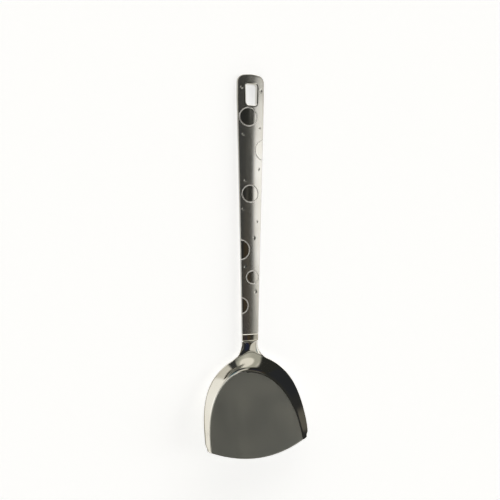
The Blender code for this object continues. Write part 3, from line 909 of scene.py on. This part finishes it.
    def _add_tang(self, bm: bmesh.types.BMesh, end: float) -> None:
        """Extrude the sheet's last row into the tang that the collar and the handle hide."""
        form = self.form
        sink = form.wall + form.gap
        narrow = (form.neck_half_width - form.wall - form.gap * 2.0) / form.neck_half_width
        edges = [edge for edge in bm.edges if all(vertex.co.y > end - CLOSE for vertex in edge.verts)]
        for place in (end + self.groove_width * self.tang_start_share, form.collar_start + self.tang_length):
            grown = bmesh.ops.extrude_edge_only(bm, edges=edges)["geom"]
            edges = [item for item in grown if isinstance(item, bmesh.types.BMEdge)]
            for vertex in (item for item in grown if isinstance(item, bmesh.types.BMVert)):
                if vertex.co.y < end + CLOSE:
                    vertex.co.x *= narrow
                vertex.co.y = place
                crown = form.crown(vertex.co.x, form.neck_half_width)
                vertex.co.z = form.side_depth + crown - sink

    def dress(self, finishes: Finishes) -> bpy.types.Object:
        """Place the blade in the room with its wall, its rounded edges and its finish."""
        mesh = self.build()
        place = self.pose.handle_in_room(self.form)
        piece = add_piece("blade_sheet", mesh, place, "blade", self.sharp_angle)
        wall = piece.modifiers.new("wall", "SOLIDIFY")
        wall.thickness = self.sheet
        wall.offset = -1.0
        edge = piece.modifiers.new("rounded_edges", "BEVEL")
        edge.width = self.edge_radius
        edge.segments = self.edge_segments
        edge.limit_method = "ANGLE"
        edge.angle_limit = self.edge_angle
        edge.use_clamp_overlap = False
        finish = BladeFinish(finishes.floor_satin, finishes.flange_mirror)
        mesh.materials.append(finish.material(self.satin_grown))
        return piece


@dataclass
class Collar:
    """Short polished ring between the neck and the handle."""

    form: HandleForm
    pose: RestPose
    chamfer: float = 0.0008
    upper_drop: float = 0.0006
    lower_drop: float = 0.0004
    corner_segments: int = 8
    columns: int = 24
    flat_angle: float = 0.001
    sharp_angle: float = math.radians(15.0)

    def build(self) -> bpy.types.Mesh:
        """Build the collar in the handle frame."""
        form = self.form
        half, low, high = form.neck_half_width, -form.back_depth, form.side_depth
        bm = bmesh.new()
        places = ((-half, low), (half, low), (half, high), (-half, high))
        corners = [bm.verts.new((x, 0.0, z)) for x, z in places]
        bm.faces.new(corners)
        round_off(bm, corners, form.front_edge_radius, self.corner_segments)
        flat = half - form.front_edge_radius
        cut_lines(bm, 0, np.linspace(-flat, flat, self.columns + 1)[1:-1])
        for vertex in bm.verts:
            share = min(max((vertex.co.z - low) / (high - low), 0.0), 1.0)
            vertex.co.z += form.crown(vertex.co.x, half) * share
        start = form.collar_start + self.chamfer
        bmesh.ops.translate(bm, verts=bm.verts, vec=(0.0, start, 0.0))
        inner = [edge for edge in bm.edges if not edge.is_boundary]
        bmesh.ops.dissolve_limit(bm, angle_limit=self.flat_angle, verts=[], edges=inner)
        extrude(bm, bm.faces[:], (0.0, form.collar_length - self.chamfer * 2.0, 0.0))
        caps = [face for face in bm.faces if len(face.verts) > 4]
        for cap in caps:
            outwards = math.copysign(self.chamfer, cap.normal.y)
            drop = self.upper_drop if outwards > 0.0 else self.lower_drop
            bmesh.ops.inset_region(bm, faces=[cap], thickness=drop, use_even_offset=True)
            bmesh.ops.translate(bm, verts=cap.verts, vec=(0.0, outwards, 0.0))
            bmesh.ops.inset_region(bm, faces=[cap], thickness=form.wall - drop, use_even_offset=True)
        edges = [edge for cap in caps for edge in cap.edges]
        bmesh.ops.delete(bm, geom=caps, context="FACES_ONLY")
        bmesh.ops.bridge_loops(bm, edges=edges)
        bmesh.ops.recalc_face_normals(bm, faces=bm.faces)
        return as_mesh(bm, "collar")

    def dress(self, finishes: Finishes) -> bpy.types.Object:
        """Place the collar in the room with its finish."""
        mesh = self.build()
        mesh.materials.append(finishes.collar_mirror.material())
        place = self.pose.handle_in_room(self.form)
        return add_piece("collar_ring", mesh, place, "neck_collar", self.sharp_angle)


@dataclass(frozen=True)
class Bubble:
    """One ring or pit of the ornament on the handle's front.

    Places are shares: along the front shell, and across it in half widths from its middle. A ring's
    radius is a share of the handle's half width at its end.
    """

    along_share: float
    across_share: float
    radius_share: float = 0.0
    depth: float = 0.0

    def centre(self, form: HandleForm) -> tuple[float, float]:
        """Return the centre's X and Y in the handle frame."""
        along = form.shell_start + (form.end - form.shell_start) * self.along_share
        return form.half_width(along) * self.across_share, along


RINGS = (
    Bubble(0.837, -0.24, 0.625),
    Bubble(0.711, 1.05, 0.680),
    Bubble(0.543, -0.10, 0.582),
    Bubble(0.327, -1.10, 0.680),
    Bubble(0.220, 0.16, 0.447),
    Bubble(0.110, -1.18, 0.565),
)
PIT_DEPTH = 0.00038
SMALL_PIT_DEPTH = 0.00018
PIT_PLACES = (
    (0.9485, -0.74),
    (0.9390, 0.75),
    (0.770, -0.67),
    (0.593, -0.56),
    (0.484, -0.77),
    (0.373, 0.31),
    (0.260, -0.62),
    (0.162, 0.56),
)
SMALL_PIT_PLACES = ((0.797, 0.69), (0.639, 0.70), (0.435, 0.61))
PITS = tuple(
    Bubble(along, across, depth=depth)
    for depth, places in ((PIT_DEPTH, PIT_PLACES), (SMALL_PIT_DEPTH, SMALL_PIT_PLACES))
    for along, across in places
)


@dataclass
class Ornament:
    """Engraved rings with polished discs, and small pressed pits."""

    form: HandleForm
    line_radius: float = 0.00066
    line_lift: float = 0.00034
    line_segments: int = 12
    ring_steps: int = 120
    pit_radius: float = 0.0030
    pit_segments: int = 40
    rings: tuple[Bubble, ...] = RINGS
    pits: tuple[Bubble, ...] = PITS

    def cutters(self) -> list[bpy.types.Mesh]:
        """Build the closed meshes that cut the ornament."""
        return [self._ring(ring) for ring in self.rings] + [self._pit(pit) for pit in self.pits]

    def _ring(self, ring: Bubble) -> bpy.types.Mesh:
        """Build the tube that lies in the front's face and cuts one ring."""
        x, y = ring.centre(self.form)
        radius = self.form.end_half_width * ring.radius_share
        bm = bmesh.new()
        made = bmesh.ops.create_circle(bm, segments=self.line_segments, radius=self.line_radius)
        bmesh.ops.rotate(bm, verts=made["verts"], matrix=Matrix.Rotation(math.pi / 2.0, 3, "X"))
        bmesh.ops.translate(bm, verts=made["verts"], vec=(radius, 0.0, 0.0))
        bmesh.ops.spin(
            bm,
            geom=bm.verts[:] + bm.edges[:],
            cent=(0.0, 0.0, 0.0),
            axis=(0.0, 0.0, 1.0),
            angle=math.tau,
            steps=self.ring_steps,
            use_merge=True,
        )
        bmesh.ops.remove_doubles(bm, verts=bm.verts, dist=CLOSE)
        for vertex in bm.verts:
            out = Vector((vertex.co.x, vertex.co.y)).normalized() * radius
            vertex.co.z += self.form.front(x + out.x, y + out.y) + self.line_lift
            vertex.co.x += x
            vertex.co.y += y
        bmesh.ops.recalc_face_normals(bm, faces=bm.faces)
        return as_mesh(bm, "ring_cutter")

    def _pit(self, pit: Bubble) -> bpy.types.Mesh:
        """Build the ball that presses one pit."""
        x, y = pit.centre(self.form)
        bm = bmesh.new()
        count = self.pit_segments
        bmesh.ops.create_uvsphere(bm, u_segments=count, v_segments=count, radius=self.pit_radius)
        height = self.form.front(x, y) + self.pit_radius - pit.depth
        bmesh.ops.translate(bm, verts=bm.verts, vec=(x, y, height))
        return as_mesh(bm, "pit_cutter")

    def polish_at(self, x: float, y: float, z: float) -> Polish:
        """Return the finish at a place of the front shell."""
        half_line = math.sqrt(self.line_radius**2 - self.line_lift**2)
        for ring in self.rings:
            centre_x, centre_y = ring.centre(self.form)
            radius = self.form.end_half_width * ring.radius_share
            distance = math.hypot(x - centre_x, y - centre_y)
            if abs(distance - radius) < half_line:
                return Polish.LINE
            if distance < radius and z > 0.0:
                return Polish.MIRROR
        for pit in self.pits:
            centre_x, centre_y = pit.centre(self.form)
            print_radius = math.sqrt(2.0 * self.pit_radius * pit.depth)
            if math.hypot(x - centre_x, y - centre_y) < print_radius:
                return Polish.MIRROR
        return Polish.SATIN


@dataclass
class HangingSlot:
    """Outline of the slot, shared by its liner and by the holes in the shells."""

    form: HandleForm
    from_end: float = 0.0099
    length: float = 0.0202
    end_half_width: float = 0.0061
    root_half_width: float = 0.0054
    corner_radius: float = 0.0022
    corner_segments: int = 8
    side_cuts: int = 7
    lip_width: float = 0.0014
    lip_depth: float = 0.0010
    land: float = 0.0003

    def face(self, bm: bmesh.types.BMesh, grow: float, height: float) -> bmesh.types.BMFace:
        """Add the slot's plan as one face with rounded corners.

        Args:
            bm: The mesh that gets the face.
            grow: How far the outline stands outside the slot.
            height: Z of the face.

        Returns:
            The face.
        """
        end = self.form.end - self.from_end + grow
        root = self.form.end - self.from_end - self.length - grow
        wide, narrow = self.end_half_width + grow, self.root_half_width + grow
        places = ((-narrow, root), (narrow, root), (wide, end), (-wide, end))
        corners = [bm.verts.new((x, y, height)) for x, y in places]
        bm.faces.new(corners)
        made = round_off(bm, corners, self.corner_radius + grow, self.corner_segments)
        face = max(made[0].link_faces, key=lambda item: item.calc_area())
        sides = [edge for edge in face.edges if edge.calc_length() > self.corner_radius]
        bmesh.ops.subdivide_edges(bm, edges=sides, cuts=self.side_cuts)
        return max(face.verts[0].link_faces, key=lambda item: item.calc_area())

    def cutter(self) -> bpy.types.Mesh:
        """Build the block that cuts the slot, with room for the liner."""
        form = self.form
        low = -form.back_depth * 2.0
        high = (form.side_depth + form.crown(0.0, form.end_half_width)) * 2.0
        bm = bmesh.new()
        face = self.face(bm, self.lip_width + self.land + form.gap, low)
        extrude(bm, [face], (0.0, 0.0, high - low))
        return as_mesh(bm, "slot_cutter")


@dataclass
class SlotLiner:
    """Tube that lines the hanging slot, with a rolled bright lip on the front."""

    form: HandleForm
    pose: RestPose
    slot: HangingSlot
    lip_steps: int = 6
    sharp_angle: float = math.radians(40.0)

    def build(self) -> bpy.types.Mesh:
        """Build the liner in the handle frame."""
        form, slot = self.form, self.slot
        outer = slot.lip_width + slot.land
        levels = [(outer, None), (outer, 0.0)]
        for step in range(self.lip_steps + 1):
            angle = math.pi / 2.0 * step / self.lip_steps
            grow = slot.lip_width * (1.0 - math.sin(angle))
            levels.append((grow, slot.lip_depth * (1.0 - math.cos(angle))))
        levels.append((0.0, None))
        bm = bmesh.new()
        loops = []
        for grow, drop in levels:
            face = slot.face(bm, grow, -form.back_depth)
            if drop is not None:
                for vertex in face.verts:
                    rise = form.crown(vertex.co.x, form.half_width(vertex.co.y))
                    vertex.co.z = form.side_depth + rise - drop
            loops.append(face.edges[:])
            bmesh.ops.delete(bm, geom=[face], context="FACES_ONLY")
        for first, second in zip(loops, loops[1:] + loops[:1]):
            bmesh.ops.bridge_loops(bm, edges=first + second)
        bmesh.ops.recalc_face_normals(bm, faces=bm.faces)
        return as_mesh(bm, "liner")

    def dress(self, finishes: Finishes) -> bpy.types.Object:
        """Place the liner in the room with its finish."""
        mesh = self.build()
        mesh.materials.append(finishes.bright_lip.material())
        place = self.pose.handle_in_room(self.form)
        return add_piece("slot_liner", mesh, place, "hang_slot_liner", self.sharp_angle)


@dataclass
class Shell:
    """One pressed shell of the handle."""

    form: HandleForm
    pose: RestPose
    slot: HangingSlot
    column_step: float = 0.0012
    row_step: float = 0.0025
    corner_segments: int = 20
    edge_segments: int = 7
    core_inset: float = 1.5
    sharp_angle: float = math.radians(35.0)

    def plate(self, wall_height: float, edge_radius: float) -> bmesh.types.BMesh:
        """Build an open plate with rounded end corners and rounded upper edges.

        Args:
            wall_height: How far its face stands above its rim.
            edge_radius: The radius between its face and its walls.

        Returns:
            The plate, straight and flat, as wide as the handle's end.
        """
        form = self.form
        half, start, end = form.end_half_width, form.shell_start, form.end - form.end_arch
        bm = bmesh.new()
        places = ((-half, start), (half, start), (half, end), (-half, end))
        corners = [bm.verts.new((x, y, 0.0)) for x, y in places]
        bm.faces.new(corners)
        round_off(bm, corners[2:], form.end_corner_radius, self.corner_segments)
        extrude(bm, bm.faces[:], (0.0, 0.0, wall_height))
        low = [f for f in bm.faces if all(v.co.z < wall_height / 2.0 for v in f.verts)]
        mouth = [f for f in bm.faces if all(v.co.y < start + form.gap for v in f.verts)]
        bmesh.ops.delete(bm, geom=low + mouth, context="FACES")
        rim = [
            edge
            for edge in bm.edges
            if all(v.co.z > wall_height / 2.0 for v in edge.verts)
            and not all(v.co.y < start + form.gap for v in edge.verts)
        ]
        round_off(bm, rim, edge_radius, self.edge_segments, "EDGES")
        inner = half - edge_radius
        columns = max(int(2.0 * inner / self.column_step), 2)
        cut_lines(bm, 0, np.linspace(-inner, inner, columns + 1)[1:-1])
        rows = int((end - start) / self.row_step)
        cut_lines(bm, 1, np.linspace(start, end, rows + 1)[1:-1])
        return bm

    def bend(self, bm: bmesh.types.BMesh, edge_radius: float, rim: float, crowned: bool) -> None:
        """Taper the plate, bow its end, and raise its crown.

        Args:
            bm: The plate.
            edge_radius: The radius between its face and its walls.
            rim: Height of the walls below that radius.
            crowned: Whether the face is crowned.
        """
        form = self.form
        core = form.end_half_width - edge_radius * self.core_inset
        corner_x = form.end_half_width - form.end_corner_radius
        corner_y = form.end - form.end_arch - form.end_corner_radius
        for vertex in bm.verts:
            x, y, z = vertex.co
            half_width = form.half_width(y)
            shift = form.end_half_width - half_width
            size = abs(x)
            size = size - shift if size > core else size * (core - shift) / core
            vertex.co.x = math.copysign(size, x)
            bow = 1.0 - min(abs(x) / corner_x, 1.0) ** 2
            vertex.co.y += form.end_arch * bow * float(smoothstep((y - corner_y) / form.end_corner_radius))
            if crowned:
                vertex.co.z += form.crown(size, half_width) * min(z / rim, 1.0)

    def build(
        self, side: float, depth: float, edge_radius: float, cutters: list[bpy.types.Mesh]
    ) -> bpy.types.Mesh:
        """Build one shell in the handle frame.

        Args:
            side: 1 for the crowned front, -1 for the flat back.
            depth: How far its long edges stand from the plane where the shells meet.
            edge_radius: The radius between its face and its walls.
            cutters: Closed meshes that are cut out of it.

        Returns:
            The finished mesh.
        """
        base = self.form.gap / 2.0
        height = depth - base
        bm = self.plate(height, edge_radius)
        self.bend(bm, edge_radius, height - edge_radius, side > 0.0)
        bmesh.ops.scale(bm, verts=bm.verts, vec=(1.0, 1.0, side))
        bmesh.ops.translate(bm, verts=bm.verts, vec=(0.0, 0.0, base * side))
        bmesh.ops.recalc_face_normals(bm, faces=bm.faces)
        facing = sum(face.normal.z * face.calc_area() for face in bm.faces)
        if facing * side < 0.0:
            bmesh.ops.reverse_faces(bm, faces=bm.faces[:])
        return solid_of(as_mesh(bm, "shell"), self.form.wall, cutters)

    def dress(self, finishes: Finishes, ornament: Ornament) -> list[bpy.types.Object]:
        """Place both shells in the room with their finishes."""
        form = self.form
        front_cutters = [self.slot.cutter()] + ornament.cutters()
        front = self.build(1.0, form.side_depth, form.front_edge_radius, front_cutters)
        back = self.build(-1.0, form.back_depth, form.back_edge_radius, [self.slot.cutter()])
        front_steel = (finishes.handle_satin, finishes.ring_mirror, finishes.etched_line_and_highlight)
        place = self.pose.handle_in_room(form)
        pieces = []
        for name, mesh, node, steel in (
            ("front_shell", front, "handle_front_shell", front_steel),
            ("back_shell", back, "handle_back_shell", (finishes.back_satin,)),
        ):
            mesh.materials.clear()
            for finish in steel:
                mesh.materials.append(finish.material())
            if mesh is front:
                for polygon in mesh.polygons:
                    polygon.material_index = ornament.polish_at(*polygon.center).value
            pieces.append(add_piece(name, mesh, place, node, self.sharp_angle))
        return pieces


@dataclass(frozen=True)
class SkyPatch:
    """A round soft box or dark card, as seen from the table.

    The angles are in degrees: round the room from X, down from overhead, and from the patch's middle
    to where it begins and ends to fade.
    """

    azimuth: float
    down: float
    full_to: float
    fades_by: float
    colour: Colour

    @classmethod
    def spread(
        cls, right: float, forth: float, full_to: float, fades_by: float, colour: Colour
    ) -> SkyPatch:
        """Make a patch from its middle's degrees from overhead, along X and along Y."""
        azimuth = math.degrees(math.atan2(forth, right))
        return cls(azimuth, math.hypot(right, forth), full_to, fades_by, colour)

    @property
    def towards(self) -> Vector:
        """Direction of the patch's middle."""
        azimuth, down = math.radians(self.azimuth), math.radians(self.down)
        level = math.sin(down)
        return Vector((level * math.cos(azimuth), level * math.sin(azimuth), math.cos(down)))


@dataclass
class Studio:
    """Pale floor, camera, and a pale room with the light and dark patches that the steel mirrors.

    A patch lies over those before it.
    """

    camera_place: Triple = (-0.23012, 0.04760, 0.55852)
    camera_turn: Triple = (math.radians(-3.539), math.radians(-22.561), math.radians(0.642))
    lens: float = 43.241
    sensor: float = 36.0
    nearest_seen: float = 0.01
    floor_half_side: float = 4.0
    floor_colour: Colour = (0.80, 0.80, 0.80)
    floor_roughness: float = 0.9
    floor_glow: float = 0.66
    surround: Colour = (0.80, 0.78, 0.70)
    patches: tuple[SkyPatch, ...] = (
        SkyPatch(-176.0, 75.0, 14.0, 22.0, (0.100, 0.096, 0.085)),
        SkyPatch(-62.2, 64.4, 15.0, 21.0, (0.500, 0.500, 0.430)),
        SkyPatch(168.0, 22.0, 30.0, 36.0, (0.034, 0.035, 0.035)),
        SkyPatch(162.0, 53.0, 9.0, 15.0, (0.145, 0.138, 0.118)),
        SkyPatch(59.0, 35.0, 22.0, 30.0, (0.036, 0.037, 0.033)),
        SkyPatch.spread(54.0, 32.0, 4.0, 16.0, (0.120, 0.120, 0.115)),
        SkyPatch(-80.0, 30.0, 25.0, 28.0, (0.030, 0.031, 0.028)),
        SkyPatch(-150.0, 40.0, 20.0, 26.0, (0.028, 0.030, 0.034)),
        SkyPatch(-42.0, 55.0, 15.0, 18.0, (0.032, 0.035, 0.040)),
        SkyPatch(-46.1, 72.1, 2.5, 5.5, (0.050, 0.052, 0.050)),
        SkyPatch(-12.0, 26.0, 14.0, 18.0, (0.036, 0.036, 0.030)),
        SkyPatch(-42.0, 14.0, 8.0, 13.0, (0.074, 0.054, 0.032)),
        SkyPatch(-63.4, 20.1, 8.0, 10.0, (0.024, 0.028, 0.054)),
        SkyPatch(-34.0, 40.0, 11.0, 13.5, (0.800, 0.780, 0.700)),
        SkyPatch(-18.4, 50.6, 8.0, 17.0, (0.620, 0.600, 0.540)),
        SkyPatch(-56.5, 46.2, 4.5, 7.0, (0.520, 0.510, 0.450)),
        SkyPatch(-34.7, 63.2, 5.0, 8.0, (0.050, 0.052, 0.050)),
        SkyPatch(-27.1, 50.5, 5.0, 8.5, (0.160, 0.300, 0.360)),
        SkyPatch(40.4, 26.2, 3.0, 7.0, (0.260, 0.260, 0.240)),
        SkyPatch(6.5, 38.5, 5.0, 13.0, (1.700, 1.685, 1.640)),
        SkyPatch(3.0, 51.0, 6.0, 13.0, (1.700, 1.685, 1.640)),
        SkyPatch(-9.0, 77.0, 16.0, 20.0, (1.230, 1.220, 1.170)),
        SkyPatch.spread(64.0, 4.0, 3.0, 9.0, (1.750, 1.740, 1.700)),
        SkyPatch(90.0, 78.0, 20.0, 28.0, (1.900, 1.870, 1.800)),
        SkyPatch(62.0, 76.0, 14.0, 22.0, (1.900, 1.870, 1.800)),
        SkyPatch(-70.7, 84.8, 19.0, 22.0, (1.050, 1.020, 0.920)),
    )

    def build(self) -> None:
        """Make the floor, the surround and the camera."""
        self._floor()
        self._surround()
        self._camera()

    def _camera(self) -> None:
        """Stand the camera where the photograph was taken from."""
        data = bpy.data.cameras.new("camera")
        data.lens = self.lens
        data.sensor_width = self.sensor
        data.clip_start = self.nearest_seen
        camera = bpy.data.objects.new("camera", data)
        camera.location = self.camera_place
        camera.rotation_euler = self.camera_turn
        bpy.context.scene.collection.objects.link(camera)
        bpy.context.scene.camera = camera

    def _floor(self) -> None:
        """Lay the pale floor, which looks white and keeps the shadow."""
        bm = bmesh.new()
        bmesh.ops.create_grid(bm, x_segments=1, y_segments=1, size=self.floor_half_side)
        floor = bpy.data.objects.new("floor", as_mesh(bm, "floor"))
        bpy.context.scene.collection.objects.link(floor)
        paint = bpy.data.materials.new("pale_floor")
        paint.use_nodes = True
        tree = paint.node_tree
        shader = tree.nodes["Principled BSDF"]
        shader.inputs["Base Color"].default_value = (*self.floor_colour, 1.0)
        shader.inputs["Roughness"].default_value = self.floor_roughness
        shader.inputs["Specular IOR Level"].default_value = 0.0
        shader.inputs["Emission Color"].default_value = (1.0, 1.0, 1.0, 1.0)
        path = tree.nodes.new("ShaderNodeLightPath")
        seen = add_math(tree, "MAXIMUM", path.outputs["Is Camera Ray"], path.outputs["Is Glossy Ray"])
        glow = add_math(tree, "MULTIPLY", seen, self.floor_glow)
        tree.links.new(glow, shader.inputs["Emission Strength"])
        floor.data.materials.append(paint)

    def _surround(self) -> None:
        """Light the room with its pale surround and its patches, white where the camera sees it."""
        world = bpy.data.worlds.new("studio")
        world.use_nodes = True
        bpy.context.scene.world = world
        tree = world.node_tree
        towards = tree.nodes.new("ShaderNodeTexCoord").outputs["Generated"]
        colour = tree.nodes.new("ShaderNodeRGB").outputs[0]
        colour.default_value = (*self.surround, 1.0)
        for patch in self.patches:
            facing = tree.nodes.new("ShaderNodeVectorMath")
            facing.operation = "DOT_PRODUCT"
            facing.inputs[1].default_value = patch.towards
            tree.links.new(towards, facing.inputs[0])
            rim, core = math.cos(math.radians(patch.fades_by)), math.cos(math.radians(patch.full_to))
            mask = add_ramp(tree, facing.outputs["Value"], rim, core, "SMOOTHSTEP")
            colour = add_mix(tree, "RGBA", mask, colour, (*patch.colour, 1.0))
        path = tree.nodes.new("ShaderNodeLightPath")
        white = add_mix(tree, "RGBA", path.outputs["Is Camera Ray"], colour, (1.0, 1.0, 1.0, 1.0))
        tree.links.new(white, tree.nodes["Background"].inputs["Color"])


def main() -> None:
    """Build the studio and every piece."""
    logging.basicConfig(level=logging.INFO, format="%(name)s: %(message)s")
    bpy.context.scene.view_settings.view_transform = "Standard"
    Studio().build()
    form, pose, finishes = HandleForm(), RestPose(), Finishes()
    slot = HangingSlot(form)
    Blade(form, pose).dress(finishes)
    Collar(form, pose).dress(finishes)
    Shell(form, pose, slot).dress(finishes, Ornament(form))
    SlotLiner(form, pose, slot).dress(finishes)


if __name__ == "__main__":
    main()
